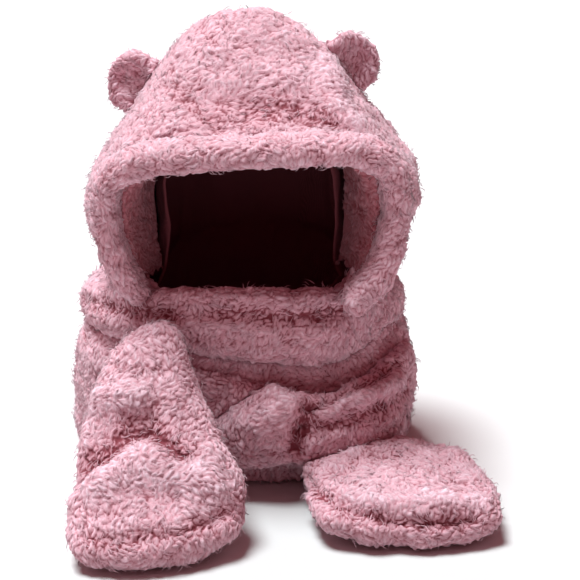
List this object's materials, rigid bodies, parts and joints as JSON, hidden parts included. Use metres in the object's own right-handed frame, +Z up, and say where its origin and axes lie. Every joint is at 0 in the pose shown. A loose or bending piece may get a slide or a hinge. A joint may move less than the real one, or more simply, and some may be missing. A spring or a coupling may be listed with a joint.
{
  "type": "hood scarf",
  "caption": "Fluffy sherpa hood with round animal ears, joined to a scarf that winds round the neck and ends in mitten pockets, to keep head, neck and hands warm.",
  "frame": {"origin": "on the surface it stands on, under the middle of its bounding box", "axes": "+Z up, -Y to the front where the face opening and the pockets are, +X to the wearer's left"},
  "size_m": [0.38, 0.4438, 0.4024],
  "materials": {
    "sherpa": "long curly pile, matte",
    "lining": "smooth woven cloth, matte"
  },
  "bodies": {
    "root": {"hood_crown": "sherpa", "hood_facing": "sherpa", "hood_lining": "lining", "hood_brim": "sherpa", "ear_left": "sherpa", "ear_right": "sherpa", "neck_wrap": "sherpa", "lower_wrap": "sherpa", "scarf_tail_over": "sherpa", "scarf_tail_under": "sherpa", "pocket_left": "sherpa", "pocket_right": "sherpa"}
  },
  "joints": []
}
